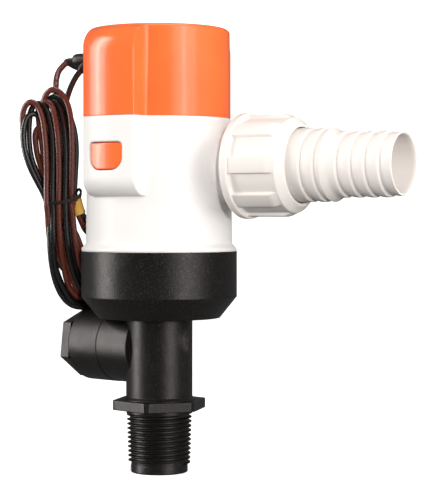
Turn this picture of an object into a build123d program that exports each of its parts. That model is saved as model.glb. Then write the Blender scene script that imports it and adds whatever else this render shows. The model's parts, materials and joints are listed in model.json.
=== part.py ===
"""Twin-port cartridge pump for boats: a lift-out motor cartridge in a fixed pump body.

Millimetres, +Z up. The origin is the centre of the inlet's open lower end, and +X runs
along the outlet. Angles are counted from +X, anticlockwise seen from above.
"""

import os
from math import atan, cos, degrees, pi, radians, sin, sqrt, tan

from build123d import *

os.makedirs("parts", exist_ok=True)

# ---------------------------------------------------------------- directions
outlet_angle = 0.0
pad_angle = -94.0  # centre of the front pad; the rear pad is opposite
port_angle = 168.6  # side inlet port
lead_angle = 180.0  # motor leads leave the cap here
hex_angle = 46.7  # one corner of the hexagon flange
hank_angle = 30.6  # the hank of leads hangs in a plane along this direction

# ---------------------------------------------------------------- fits
running_gap = 0.03  # radial, shafts in bushes
slip_gap = 0.2  # radial, parts that slide apart by hand
ring_gap = 0.05  # radial, round the soft rings
window_gap = 0.35  # round the release buttons
seat_gap = 0.05  # between flat faces of bodies that come apart
thread_gap = 0.3  # radial, over the plain stand-ins of hidden threads

# ---------------------------------------------------------------- inlet base
inlet_bore_r = 9.4
neck_bore_r = 9.8
thread_pitch = 1.814
thread_top_r = 13.1
thread_taper = degrees(atan(1 / 32))
thread_depth = 1.25
crest_width = 0.22
root_width = 1.5
tip_inset = 1.7  # the plain tip is this much smaller in radius than the thread
tip_length = 3.0
thread_length = 20.6
collar_proud = 0.1
collar_length = 1.7
hex_thickness = 3.8
hex_corner_r = 19.36
hex_corner_flat = 1.0
neck_proud = 0.2
neck_foot = 1.3
neck_length = 32.7
cup_height = 26.6
cup_proud = 0.1  # the cup stands this much outside the housing's lip
cup_chamfer_width = 6.8
cup_chamfer_height = 8.5
cup_wall = 2.4
cup_floor = 5.6
small_edge = 0.5

# ---------------------------------------------------------------- side port
port_rise = 20.9  # from the hexagon's top to the port's axis
port_boss_r = 15.05
port_boss_start = 4.2
port_boss_end = 21.0
port_cap_wall = 2.45
port_cap_proud = 0.1
port_spigot_length = 12.0
port_gasket_thickness = 1.4
port_cap_length = 16.3
port_shoulder_length = 2.1
port_hex_length = 4.7
port_hex_corner_r = 14.2
port_hex_turn = 37.0
port_throat_r = 11.3

# ---------------------------------------------------------------- housing
body_top_r = 28.7
body_draft = 0.5
housing_wall = 2.5
housing_height = 52.6
body_foot_height = 3.1  # height of the flared foot above the parting line
lip_width = 1.8
lip_height = 1.2
skirt_length = 8.4
base_ring_section_r = 0.6
base_ring_drop = 4.4

pad_depth = 6.5
pad_half_width = 12.44
pad_foot_fillet = 4.0
pad_start = 21.7  # above the parting line
pad_run_in = 7.3  # height over which the pad's lower end curves out
pad_edge = 1.1
pad_root = 0.1  # how far the pads reach into the round wall behind them
pad_wall = 2.5
pad_side_wall = 2.2
pocket_start = 3.5  # above the pad's lower end
pocket_inset = 0.1

window_start = 9.9  # above the pad's lower end
window_height = 10.9
window_side_margin = 4.6  # from the pad's side to the window
window_top_corner = 1.8
window_bottom_corner = 4.9

# ---------------------------------------------------------------- outlet
outlet_rise = 33.4  # from the parting line to the outlet's axis
outlet_bore_r = 10.8
outlet_port_r = 10.4  # way through the housing's wall and the spigot
outlet_neck_r = 13.0
outlet_neck_length = 10.4  # beyond the housing's barrel
outlet_thread_r = 16.1
outlet_spigot_length = 16.9
outlet_gasket_thickness = 1.2
barb_collar_inset = 0.3
barb_collar_length = 3.7
nut_gap = 0.3
nut_flange_length = 3.2
nut_wall = 1.9
nut_rib_height = 1.3
nut_flange_height = 2.2
nut_rib_length = 16.2
nut_body_length = 19.3
nut_front_length = 3.0
nut_front_rim = 0.6
nut_ribs = 8
barb_large_r = 14.1
barb_step = 1.6  # the outer section is this much smaller in radius
barb_groove = 0.95
barb_pitch = 5.8
barb_land = 4.2
barb_large_reach = 14.8  # from the collar to the last edge of the large section
barb_step_gap = 3.1
barb_step_length = 3.0
barb_small_length = 25.2
barb_nose = 5.2
barb_nose_taper = 0.6
barb_tip_chamfer = 0.5
mouth_flare = 0.4
mouth_depth = 1.2

# ---------------------------------------------------------------- motor cap
cap_inset = 0.1
cap_draft = 0.4
cap_height = 35.6
cap_edge = 2.0
cap_wall = 2.4
cap_pad_run = 25.0  # height of the cap's full depth pads
cap_pad_drop = 1.0  # the pads end this much below the cap's top
latch_arm_length = 7.6
latch_arm_half_width = 5.5
latch_arm_thickness = 1.6

# ---------------------------------------------------------------- cartridge
water_gap = 4.2  # between the shroud and the housing's bore
shroud_wall = 1.6
shroud_floor = 2.5
shroud_start = 3.6  # above the parting line
shroud_flange_thickness = 5.5
ring_section_r = 0.9
seal_boss_wall = 2.0
seal_boss_drop = 6.0
seal_r = 6.0
seal_height = 3.5
fin_count = 4
fin_thickness = 1.6
fin_height = 12.0
can_gap = 1.4
can_wall = 1.2
cap_headroom = 12.2  # over the motor's terminals
magnet_thickness = 3.4
magnet_overhang = 3.0
magnet_half_angle = 62.0
air_gap = 0.8
bush_wall = 2.0
bush_length = 4.0
end_bell_height = 6.0
shaft_r = 2.0
shaft_tip = 1.4  # the shaft ends this much above the impeller's lower end
core_clearance = 2.3
core_slots = 8
slot_width = 2.6
slot_depth = 6.0
end_turn_height = 4.0
commutator_r = 5.2
commutator_length = 6.4
commutator_clearance = 2.6
brush_length = 5.5
brush_width = 4.0
brush_height = 4.4
brush_gap = 0.05
holder_wall = 0.8
holder_spare = 2.0
spring_wire_r = 0.25
terminal_height = 6.0

# ---------------------------------------------------------------- impeller
impeller_gap = 9.2  # to the chamber's wall
impeller_floor_gap = 1.2
blade_height = 8.4
impeller_disc_thickness = 2.0
impeller_hub_wall = 3.5
impeller_hub_height = 3.5
impeller_blades = 6
blade_thickness = 1.6
blade_start_r = 7.5
blade_sweep = 48.0
blade_middle_sweep = 17.0

# ---------------------------------------------------------------- release buttons
button_flange_lip = 0.95
button_flange_thickness = 1.5
button_recess = 0.15
coil_r = 2.4
coil_wire_r = 0.18
coil_turns = 2

# ---------------------------------------------------------------- leads
lead_d = 2.4
boot_drop = 10.4  # from the cap's top to the boot's axis
boot_r = 3.1
boot_proud = 9.4  # beyond the cap's foot
boot_collar_r = 4.6
boot_collar_thickness = 1.2
sleeve_root_r = 2.5
sleeve_tip_r = 1.6
tie_width = 2.4
tie_thickness = 1.0
tie_head = 4.6
marker_r = 2.9
marker_length = 5.6

# The leads are laid out in the hank's own directions: along its plane, behind it, and up
# from the boot's axis, so that they hang from the boot.
# Route of each lead from its sleeve on the boot down into the top of the hank.
brown_points = [
    (-38.4, 22.0, -0.3),
    (-40.8, 21.0, -2.5),
    (-42.3, 19.1, -5.2),
    (-43.3, 15.6, -9.3),
    (-43.8, 11.6, -14.0),
]
black_points = [
    (-32.3, 17.0, -4.0),
    (-34.3, 16.2, -6.5),
    (-36.0, 14.6, -10.1),
    (-37.2, 12.6, -13.6),
    (-38.2, 10.8, -17.4),
]
# Route of the two free ends from the marker sleeve down behind the body.
brown_end_points = [
    (-33.6, 15.2, -62.2),
    (-31.9, 18.6, -67.6),
    (-29.4, 23.2, -72.6),
    (-25.2, 28.6, -76.6),
    (-19.6, 32.4, -79.6),
]
black_end_points = [
    (-31.0, 16.4, -61.6),
    (-28.9, 20.4, -66.8),
    (-25.9, 25.6, -71.0),
    (-21.2, 30.2, -74.2),
    (-15.4, 33.2, -76.4),
]
# Level sections of the hank: middle along, middle behind, height, half width, half depth
# and how far the section is turned from the hank's plane.
hank_sections = [
    (-42.0, 9.0, -12.6, 4.0, 2.2, 0.0),
    (-43.8, 9.5, -16.2, 9.6, 4.0, 4.0),
    (-44.6, 10.0, -27.2, 11.6, 5.0, 8.0),
    (-43.2, 10.5, -42.2, 10.2, 5.2, 12.0),
    (-39.6, 12.0, -58.7, 6.6, 5.2, 22.0),
    (-38.0, 14.6, -73.2, 9.4, 4.6, 36.0),
    (-35.4, 17.2, -86.2, 12.4, 4.3, 45.0),
    (-34.8, 18.0, -95.2, 10.0, 3.9, 45.0),
    (-35.4, 17.6, -100.0, 4.6, 2.6, 45.0),
]


def away(angle, reach, height):
    """The point at this reach from the main axis."""
    return Vector(reach * cos(radians(angle)), reach * sin(radians(angle)), height)


def side_plane(angle, height):
    """Upright plane through the main axis: local x runs outwards, local y upwards."""
    across = (sin(radians(angle)), -cos(radians(angle)), 0)
    return Plane(origin=(0, 0, height), x_dir=away(angle, 1, 0), z_dir=across)


def facing_plane(angle, reach, height):
    """Upright plane that faces outwards: local z runs outwards, local y upwards."""
    across = (-sin(radians(angle)), cos(radians(angle)), 0)
    return Plane(origin=away(angle, reach, height), x_dir=across, z_dir=away(angle, 1, 0))


def level_plane(angle, height):
    """Level plane whose local x runs outwards at this angle."""
    return Plane(origin=(0, 0, height), x_dir=away(angle, 1, 0), z_dir=(0, 0, 1))


def round_axis(angle, height):
    """Level axis outwards from the main axis."""
    return Axis((0, 0, height), away(angle, 1, 0))


def corner_at(sketch, x, y):
    """The vertex of a profile nearest to a local point."""
    return sketch.vertices().sort_by_distance((x, y, 0))[0]


def finish(piece, node):
    """Label a finished piece and write it."""
    piece.part.label = node
    export_step(piece.part, f"parts/{node}.step")


def tube(outer_r, inner_r, bottom, top):
    """A plain upright tube on the main axis."""
    with BuildPart() as piece:
        with BuildSketch(Plane.XY.offset(bottom)):
            Circle(outer_r)
            Circle(inner_r, mode=Mode.SUBTRACT)
        extrude(amount=top - bottom)
    return piece


def ring(axis_plane, centre_x, centre_y, section_r, axis):
    """A soft ring of round section, its section drawn on a plane through its axis."""
    with BuildPart() as piece:
        with BuildSketch(axis_plane):
            with Locations((centre_x, centre_y)):
                Circle(section_r)
        revolve(axis=axis)
    return piece


# ================================================================ shared places
housing_bore_r = body_top_r - housing_wall
body_bottom_r = body_top_r + body_draft
lip_r = body_bottom_r + lip_width
cup_r = lip_r + cup_proud
cup_floor_r = cup_r - cup_chamfer_width
cup_inner_r = cup_r - cup_wall
cap_bottom_r = body_top_r - cap_inset
cap_top_r = cap_bottom_r - cap_draft
pad_r = body_top_r + pad_depth
pocket_inner_r = body_top_r + pocket_inset
pocket_outer_r = pad_r - pad_wall
window_half_width = pad_half_width - window_side_margin

collar_bottom = tip_length + thread_length
hex_bottom = collar_bottom + collar_length
hex_top = hex_bottom + hex_thickness
port_height = hex_top + port_rise
cup_bottom = hex_top + neck_length
chamber_floor = cup_bottom + cup_floor
parting = cup_bottom + cup_height  # where the base ends and the housing begins
housing_top = parting + housing_height
cap_top = housing_top + cap_height
boot_height = cap_top - boot_drop
boot_reach = cap_bottom_r + boot_proud
outlet_height = parting + outlet_rise
pad_bottom = parting + pad_start
pocket_bottom = pad_bottom + pocket_start
window_bottom = pad_bottom + window_start
window_middle = window_bottom + window_height / 2

# ================================================================ inlet base
neck_r = thread_top_r + neck_proud
collar_r = thread_top_r + collar_proud
tip_r = thread_top_r - tip_inset
chamber_full = cup_bottom + cup_chamfer_height + cup_wall
chamber_floor_r = cup_floor_r - cup_wall
thread_bottom_r = thread_top_r - thread_length * tan(radians(thread_taper))
core_top_r = thread_top_r - thread_depth
core_bottom_r = thread_bottom_r - thread_depth
port_cap_r = port_boss_r + port_cap_proud
port_cap_bore_r = port_cap_r - port_cap_wall
port_spigot_r = port_cap_bore_r - thread_gap
port_spigot_end = port_boss_end + port_spigot_length

with BuildPart() as fitting:
    with BuildSketch(Plane.XZ) as fitting_profile:
        with BuildLine():
            Polyline(
                (0, 0),
                (tip_r, 0),
                (tip_r, tip_length),
                (core_bottom_r, tip_length),
                (core_top_r, collar_bottom),
                (collar_r, collar_bottom),
                (collar_r, hex_bottom),
                (0, hex_bottom),
                close=True,
            )
        make_face()
        fillet(corner_at(fitting_profile, tip_r, 0), small_edge)
    revolve(axis=Axis.Z)
    with BuildSketch(level_plane(hex_angle, hex_bottom)) as hex_outline:
        RegularPolygon(radius=hex_corner_r, side_count=6)
        chamfer(hex_outline.vertices(), hex_corner_flat)
    extrude(amount=hex_thickness)

    # tapered pipe thread, with a lead-in at its lower end
    thread_start = tip_length + 0.5 * root_width
    turns_height = collar_bottom - thread_start
    path = Helix(
        pitch=thread_pitch,
        height=turns_height,
        radius=core_bottom_r,
        center=(0, 0, thread_start),
        cone_angle=thread_taper,
    )
    with BuildSketch(Plane(origin=path @ 0, x_dir=(1, 0, 0), z_dir=path % 0)):
        with BuildLine():
            Polyline(
                (-small_edge, -root_width / 2),
                (thread_depth, -crest_width / 2),
                (thread_depth, crest_width / 2),
                (-small_edge, root_width / 2),
                close=True,
            )
        make_face()
    sweep(path=path, is_frenet=True)

    with BuildSketch(Plane.XY):
        Circle(inlet_bore_r)
    extrude(amount=hex_top, mode=Mode.SUBTRACT)
finish(fitting, "inlet_fitting")

with BuildPart() as base:
    with BuildSketch(Plane.XZ) as base_profile:
        with BuildLine():
            Polyline(
                (0, hex_top),
                (neck_r + neck_foot, hex_top),
                (neck_r, hex_top + neck_foot),
                (neck_r, cup_bottom),
                (cup_floor_r, cup_bottom),
                (cup_r, cup_bottom + cup_chamfer_height),
                (cup_r, parting),
                (0, parting),
                close=True,
            )
        make_face()
        rounded = [(cup_floor_r, cup_bottom), (cup_r, cup_bottom + cup_chamfer_height)]
        fillet([corner_at(base_profile, x, y) for x, y in rounded], small_edge)
        fillet(corner_at(base_profile, neck_r, cup_bottom), 2 * small_edge)
    revolve(axis=Axis.Z)

    # side port: boss, a hollow in the cup's underside for its cap, then the spigot
    with BuildSketch(facing_plane(port_angle, port_boss_start, port_height)):
        Circle(port_boss_r)
    extrude(amount=port_boss_end - port_boss_start)
    with BuildSketch(facing_plane(port_angle, port_boss_end, port_height)):
        Circle(port_cap_r + thread_gap)
    extrude(amount=cup_r - port_boss_end, mode=Mode.SUBTRACT)
    with BuildSketch(facing_plane(port_angle, port_boss_end, port_height)):
        Circle(port_spigot_r)
    extrude(amount=port_spigot_end - port_boss_end)

    # water ways: neck, impeller chamber and side port
    with BuildSketch(Plane.XZ):
        with BuildLine():
            Polyline(
                (0, hex_top),
                (neck_bore_r, hex_top),
                (neck_bore_r, chamber_floor),
                (chamber_floor_r, chamber_floor),
                (cup_inner_r, chamber_full),
                (cup_inner_r, parting),
                (0, parting),
                close=True,
            )
        make_face()
    revolve(axis=Axis.Z, mode=Mode.SUBTRACT)
    with BuildSketch(facing_plane(port_angle, 0, port_height)):
        Circle(inlet_bore_r)
    extrude(amount=port_spigot_end, mode=Mode.SUBTRACT)
finish(base, "inlet_base")

# ================================================================ housing
skirt_r = cup_inner_r - slip_gap
skirt_bottom = parting - skirt_length
base_ring_height = parting - base_ring_drop
base_ring_r = cup_inner_r - ring_gap - base_ring_section_r
base_groove_r = base_ring_r - base_ring_section_r - ring_gap
foot_top = parting + body_foot_height


def pad_blocks(foot_r, bottom, top, full_from, full_to):
    """Both pads and the barrel between them, with hollow fillets where they meet.

    The pads are full depth between two heights and curve in to the barrel past them.
    """
    with BuildPart() as blocks:
        with BuildSketch(level_plane(pad_angle, bottom)) as outline:
            Circle(pad_r)
            Rectangle(2 * pad_r, 2 * pad_half_width, mode=Mode.INTERSECT)
            corners = [v for v in outline.vertices() if abs(v.Y) > pad_half_width - 0.01]
            fillet(corners, pad_edge)
            Circle(foot_r)
            foot_x = sqrt(foot_r**2 - pad_half_width**2)
            signs = [(a, b) for a in (-1, 1) for b in (-1, 1)]
            feet = [corner_at(outline, a * foot_x, b * pad_half_width) for a, b in signs]
            fillet(feet, pad_foot_fillet)
        extrude(amount=top - bottom)
        depth = pad_r - foot_r
        with BuildSketch(Plane.XZ):
            with BuildLine():
                Polyline((foot_r, top), (0, top), (0, bottom), (foot_r, bottom))
                if full_from > bottom:
                    EllipticalCenterArc(
                        (foot_r, full_from), depth, full_from - bottom, start_angle=-90, arc_size=90
                    )
                else:
                    Line((foot_r, bottom), (pad_r, bottom))
                Line((pad_r, full_from), (pad_r, full_to))
                if full_to < top:
                    EllipticalCenterArc(
                        (foot_r, full_to), depth, top - full_to, start_angle=0, arc_size=90
                    )
                else:
                    Line((pad_r, top), (foot_r, top))
            make_face()
        revolve(axis=Axis.Z, mode=Mode.INTERSECT)
    return blocks


def window_outline(margin):
    """Outline of the button window, grown by a margin."""
    with BuildSketch() as outline:
        Rectangle(2 * (window_half_width + margin), window_height + 2 * margin)
        rows = outline.vertices().group_by(Axis.Y)
        fillet(rows[0], window_bottom_corner + margin)
        fillet(outline.vertices().group_by(Axis.Y)[-1], window_top_corner + margin)
    return outline.sketch


flange_outer_r = pocket_outer_r - slip_gap
flange_inner_r = flange_outer_r - button_flange_thickness
pad_full = pad_bottom + pad_run_in
housing_pads = pad_blocks(body_top_r - pad_root, pad_bottom, housing_top, pad_full, housing_top)

outlet_neck_end = body_top_r + outlet_neck_length
outlet_spigot_end = outlet_neck_end + outlet_spigot_length

with BuildPart() as housing:
    with BuildSketch(Plane.XZ) as housing_profile:
        with BuildLine():
            Polyline(
                (0, skirt_bottom),
                (skirt_r, skirt_bottom),
                (skirt_r, base_ring_height - base_ring_section_r - ring_gap),
                (base_groove_r, base_ring_height - base_ring_section_r - ring_gap),
                (base_groove_r, base_ring_height + base_ring_section_r + ring_gap),
                (skirt_r, base_ring_height + base_ring_section_r + ring_gap),
                (skirt_r, parting),
                (lip_r, parting),
                (lip_r, parting + lip_height),
                (body_bottom_r, foot_top),
                (body_top_r, housing_top),
                (0, housing_top),
                close=True,
            )
        make_face()
        fillet(corner_at(housing_profile, body_bottom_r, foot_top), 2 * small_edge)
    revolve(axis=Axis.Z)
    add(housing_pads.part)

    with BuildSketch(Plane.XY.offset(skirt_bottom)):
        Circle(housing_bore_r)
    extrude(amount=housing_top - skirt_bottom, mode=Mode.SUBTRACT)
    with BuildSketch(facing_plane(outlet_angle, 0, outlet_height)):
        Circle(outlet_port_r)
    extrude(amount=cup_r, mode=Mode.SUBTRACT)

    # pockets behind the pads, open at the rim for the cap's latch arms
    with BuildSketch(level_plane(pad_angle, pocket_bottom)):
        Circle(pocket_outer_r)
        Circle(pocket_inner_r, mode=Mode.SUBTRACT)
        pocket_width = 2 * (pad_half_width - pad_side_wall)
        Rectangle(2 * pad_r, pocket_width, mode=Mode.INTERSECT)
    extrude(amount=housing_top - pocket_bottom, mode=Mode.SUBTRACT)

    # one window in each pad
    for turn in (0, 180):
        with BuildSketch(facing_plane(pad_angle + turn, flange_inner_r, window_middle)):
            add(window_outline(0))
        extrude(amount=pad_r - flange_inner_r, mode=Mode.SUBTRACT)
finish(housing, "pump_housing")

# outlet neck and the spigot that the union nut screws onto
with BuildPart() as barrel:
    with BuildSketch(Plane.XZ):
        with BuildLine():
            Polyline(
                (0, foot_top),
                (body_bottom_r, foot_top),
                (body_top_r, housing_top),
                (0, housing_top),
                close=True,
            )
        make_face()
    revolve(axis=Axis.Z)

with BuildPart() as spigot:
    with BuildSketch(facing_plane(outlet_angle, 0, outlet_height)):
        Circle(outlet_neck_r)
    extrude(amount=outlet_neck_end)
    with BuildSketch(facing_plane(outlet_angle, outlet_neck_end, outlet_height)):
        Circle(outlet_thread_r)
    extrude(amount=outlet_spigot_length)
    with BuildSketch(facing_plane(outlet_angle, 0, outlet_height)):
        Circle(outlet_port_r)
    extrude(amount=outlet_spigot_end, mode=Mode.SUBTRACT)
    add(barrel.part, mode=Mode.SUBTRACT)
finish(spigot, "outlet_spigot")

base_ring = ring(Plane.XZ, base_ring_r, base_ring_height, base_ring_section_r, Axis.Z)
finish(base_ring, "base_o_ring")

# ================================================================ release buttons
spring_room = flange_inner_r - pocket_inner_r

for node, turn in (("front", 0), ("rear", 180)):
    face = facing_plane(pad_angle + turn, pocket_inner_r, window_middle)
    with BuildPart() as flange:
        with BuildSketch(face):
            add(window_outline(button_flange_lip - window_gap))
        extrude(amount=pad_r - pocket_inner_r)
        with BuildSketch(Plane.XY.offset(pocket_bottom)):
            Circle(flange_outer_r)
            Circle(flange_inner_r, mode=Mode.SUBTRACT)
        extrude(amount=housing_top - pocket_bottom, mode=Mode.INTERSECT)
    with BuildPart() as button:
        with BuildSketch(face):
            add(window_outline(-window_gap))
        extrude(amount=pad_r - pocket_inner_r)
        with BuildSketch(Plane.XY.offset(pocket_bottom)):
            Circle(pad_r - button_recess)
            Circle(flange_inner_r, mode=Mode.SUBTRACT)
        extrude(amount=housing_top - pocket_bottom, mode=Mode.INTERSECT)
        add(flange.part)
        rim = button.faces().sort_by(Axis(face.origin, face.z_dir))[-1].edges()
        fillet(rim, small_edge)
    finish(button, f"release_button_{node}")

    with BuildPart() as coil:
        coil_height = spring_room - 2 * coil_wire_r - 2 * slip_gap
        start = face.offset(coil_wire_r + slip_gap)
        wire = Helix(
            pitch=coil_height / coil_turns,
            height=coil_height,
            radius=coil_r,
            center=start.origin,
            direction=start.z_dir,
        )
        with BuildSketch(Plane(origin=wire @ 0, z_dir=wire % 0)):
            Circle(coil_wire_r)
        sweep(path=wire, is_frenet=True)
    finish(coil, f"button_spring_{node}")

# ================================================================ outlet
outlet_axis = round_axis(outlet_angle, outlet_height)
outlet_plane = side_plane(outlet_angle, outlet_height)
barb_collar_r = outlet_thread_r - barb_collar_inset
barb_small_r = barb_large_r - barb_step
nut_start = outlet_neck_end + nut_gap
nut_rib_end = nut_start + nut_flange_length + nut_rib_length
nut_edge = nut_start + nut_flange_length + nut_body_length
nut_front = nut_edge + nut_front_length
gasket_start = outlet_spigot_end + seat_gap
collar_start = gasket_start + outlet_gasket_thickness
collar_end = collar_start + barb_collar_length
nut_bore_r = outlet_thread_r + thread_gap
nut_mouth_r = barb_large_r + 2 * slip_gap
nut_recess_r = nut_bore_r + nut_wall
nut_rib_r = nut_recess_r + nut_rib_height
nut_flange_r = nut_recess_r + nut_flange_height
barb_large_end = collar_end + barb_large_reach
barb_step_start = barb_large_end + barb_step_gap
barb_step_end = barb_step_start + barb_step_length
barb_tip = barb_step_end + barb_small_length
barb_nose_r = barb_small_r - barb_nose_taper
mouth_r = outlet_bore_r + mouth_flare

with BuildPart() as outlet_gasket:
    with BuildSketch(facing_plane(outlet_angle, gasket_start, outlet_height)):
        Circle(barb_collar_r)
        Circle(outlet_bore_r + slip_gap, mode=Mode.SUBTRACT)
    extrude(amount=outlet_gasket_thickness)
finish(outlet_gasket, "outlet_gasket")


def barb_outline(first_edge, crest_r, last_edge):
    """Points of one barbed section: flat lands with a groove in front of each edge."""
    count = round((last_edge - first_edge) / barb_pitch)
    points = []
    for n in range(count + 1):
        edge = first_edge + n * barb_pitch
        points += [
            (edge - barb_land, crest_r),
            (edge, crest_r),
            (edge + small_edge, crest_r - barb_groove),
        ]
    return points


with BuildPart() as barb:
    small_last = barb_tip - barb_nose
    barb_first_small = small_last - 3 * barb_pitch
    with BuildSketch(outlet_plane):
        with BuildLine():
            Polyline(
                (collar_start, 0),
                (collar_start, barb_collar_r),
                (collar_end, barb_collar_r),
                (collar_end, barb_large_r - barb_groove),
                *barb_outline(barb_large_end - barb_pitch, barb_large_r, barb_large_end),
                (barb_step_start - barb_land / 2, barb_large_r),
                (barb_step_start, barb_large_r),
                (barb_step_end, barb_small_r),
                (barb_first_small, barb_small_r),
                (barb_first_small + small_edge, barb_small_r - barb_groove),
                *barb_outline(barb_first_small + barb_pitch, barb_small_r, small_last),
                (small_last + barb_pitch - barb_land, barb_nose_r),
                (barb_tip - barb_tip_chamfer, barb_nose_r),
                (barb_tip, barb_nose_r - barb_tip_chamfer),
                (barb_tip, 0),
                close=True,
            )
        make_face()
    revolve(axis=outlet_axis)
    with BuildSketch(facing_plane(outlet_angle, collar_start, outlet_height)):
        Circle(outlet_bore_r)
    extrude(amount=barb_tip - collar_start, mode=Mode.SUBTRACT)
    with BuildSketch(outlet_plane):
        with BuildLine():
            Polyline(
                (barb_tip - mouth_depth, outlet_bore_r),
                (barb_tip, mouth_r),
                (barb_tip, 0),
                (barb_tip - mouth_depth, 0),
                close=True,
            )
        make_face()
    revolve(axis=outlet_axis, mode=Mode.SUBTRACT)
finish(barb, "outlet_barb")

with BuildPart() as nut:
    flange_end = nut_start + nut_flange_length
    with BuildSketch(outlet_plane):
        with BuildLine():
            Polyline(
                (nut_start, 0),
                (nut_start, nut_flange_r),
                (flange_end, nut_flange_r),
                (flange_end, nut_recess_r),
                (nut_edge, nut_recess_r),
                (nut_front, nut_mouth_r + nut_front_rim),
                (nut_front, 0),
                close=True,
            )
        make_face()
    revolve(axis=outlet_axis)
    # raised grips, flat-topped
    with BuildSketch(facing_plane(outlet_angle, flange_end, outlet_height)):
        with PolarLocations(nut_rib_r / 2, nut_ribs):
            Rectangle(nut_rib_r, 2 * nut_rib_r * sin(pi / nut_ribs / 2))
    extrude(amount=nut_rib_end - flange_end)
    with BuildSketch(outlet_plane):
        with BuildLine():
            Polyline(
                (nut_start, 0),
                (nut_start, nut_bore_r),
                (collar_end + seat_gap, nut_bore_r),
                (collar_end + seat_gap, nut_mouth_r),
                (nut_front, nut_mouth_r),
                (nut_front, 0),
                close=True,
            )
        make_face()
    revolve(axis=outlet_axis, mode=Mode.SUBTRACT)
finish(nut, "union_nut")

# ================================================================ side port cap
port_axis = round_axis(port_angle, port_height)
port_plane = side_plane(port_angle, port_height)
port_gasket_start = port_spigot_end + seat_gap
port_cap_start = port_boss_end + seat_gap
port_cap_floor = port_gasket_start + port_gasket_thickness + seat_gap
port_cap_end = port_boss_end + port_cap_length
port_hex_start = port_cap_end + port_shoulder_length
port_hex_end = port_hex_start + port_hex_length

with BuildPart() as port_gasket:
    with BuildSketch(facing_plane(port_angle, port_gasket_start, port_height)):
        Circle(port_spigot_r)
        Circle(inlet_bore_r, mode=Mode.SUBTRACT)
    extrude(amount=port_gasket_thickness)
finish(port_gasket, "port_gasket")

with BuildPart() as port_cap:
    with BuildSketch(port_plane) as port_cap_profile:
        with BuildLine():
            Polyline(
                (port_cap_start, 0),
                (port_cap_start, port_cap_r),
                (port_cap_end, port_cap_r),
                (port_hex_start, port_throat_r),
                (port_hex_end, port_throat_r),
                (port_hex_end, 0),
                close=True,
            )
        make_face()
        fillet(corner_at(port_cap_profile, port_cap_end, port_cap_r), 2 * small_edge)
    revolve(axis=port_axis)
    with BuildSketch(facing_plane(port_angle, port_hex_start, port_height)):
        RegularPolygon(radius=port_hex_corner_r, side_count=6, rotation=port_hex_turn)
    extrude(amount=port_hex_end - port_hex_start)
    with BuildSketch(facing_plane(port_angle, port_cap_start, port_height)):
        Circle(port_cap_bore_r)
    extrude(amount=port_cap_floor - port_cap_start, mode=Mode.SUBTRACT)
    with BuildSketch(facing_plane(port_angle, port_hex_end, port_height)):
        Circle(port_throat_r - cap_wall)
    extrude(amount=-(port_hex_end - port_cap_floor - cap_wall), mode=Mode.SUBTRACT)
finish(port_cap, "port_cap")

# ================================================================ motor cap
cap_pad_full = housing_top + cap_pad_run
cap_pad_top = cap_top - cap_pad_drop
cap_pads = pad_blocks(cap_top_r - pad_root, housing_top, cap_pad_top, housing_top, cap_pad_full)
cap_bottom = housing_top + seat_gap
cap_bore_r = cap_top_r - cap_wall
arm_outer_r = pocket_inner_r + 2 * slip_gap + latch_arm_thickness

with BuildPart() as latch_arms:
    with BuildSketch(level_plane(pad_angle, cap_bottom - latch_arm_length)):
        Circle(arm_outer_r)
        Circle(arm_outer_r - latch_arm_thickness, mode=Mode.SUBTRACT)
        Rectangle(2 * pad_r, 2 * latch_arm_half_width, mode=Mode.INTERSECT)
    extrude(amount=latch_arm_length + cap_wall)

with BuildPart() as motor_cap:
    with BuildSketch(Plane.XZ) as cap_profile:
        with BuildLine():
            Polyline(
                (0, cap_bottom), (cap_bottom_r, cap_bottom), (cap_top_r, cap_top), (0, cap_top),
                close=True,
            )
        make_face()
        fillet(corner_at(cap_profile, cap_top_r, cap_top), cap_edge)
    revolve(axis=Axis.Z)
    add(cap_pads.part)
    with BuildSketch(Plane.XY.offset(housing_top)):
        Circle(cap_bore_r)
    extrude(amount=cap_top - cap_wall - housing_top, mode=Mode.SUBTRACT)
    with BuildSketch(Plane.XY.offset(housing_top)):
        Circle(2 * pad_r)
    extrude(amount=seat_gap, mode=Mode.SUBTRACT)
    with BuildSketch(facing_plane(lead_angle, 0, boot_height)):
        Circle(boot_r)
    extrude(amount=pad_r, mode=Mode.SUBTRACT)
    add(latch_arms.part)
finish(motor_cap, "motor_cap")

# ================================================================ cartridge
flange_bottom = housing_top - shroud_flange_thickness
flange_r = housing_bore_r - slip_gap
shroud_r = housing_bore_r - water_gap
shroud_bottom = parting + shroud_start
shroud_bore_r = shroud_r - shroud_wall
cartridge_ring_r = housing_bore_r - ring_gap - ring_section_r
cartridge_ring_height = housing_top - shroud_flange_thickness / 2
seal_boss_r = seal_r + seal_boss_wall
seal_bottom = shroud_bottom - seal_boss_drop
shaft_hole_r = shaft_r + slip_gap
bush_r = shaft_r + bush_wall
bearing_seat_r = bush_r + can_wall
can_r = shroud_bore_r - can_gap
can_bore_r = can_r - can_wall
can_bottom = shroud_bottom + shroud_floor
lower_bush_bottom = can_bottom + can_wall
terminal_top = cap_top - cap_wall - cap_headroom
terminal_bottom = terminal_top - terminal_height
can_top = terminal_bottom - (end_bell_height - bush_length)

# the rotor's place in the can
magnet_inner_r = can_bore_r - magnet_thickness
core_r = magnet_inner_r - air_gap
commutator_top = can_top - commutator_clearance
commutator_bottom = commutator_top - commutator_length
core_top = commutator_bottom - end_turn_height - 2 * slip_gap
core_bottom = lower_bush_bottom + bush_length + core_clearance + end_turn_height
magnet_bottom = core_bottom - magnet_overhang
magnet_top = core_top + magnet_overhang
shaft_top = can_top + bush_length - small_edge

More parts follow.
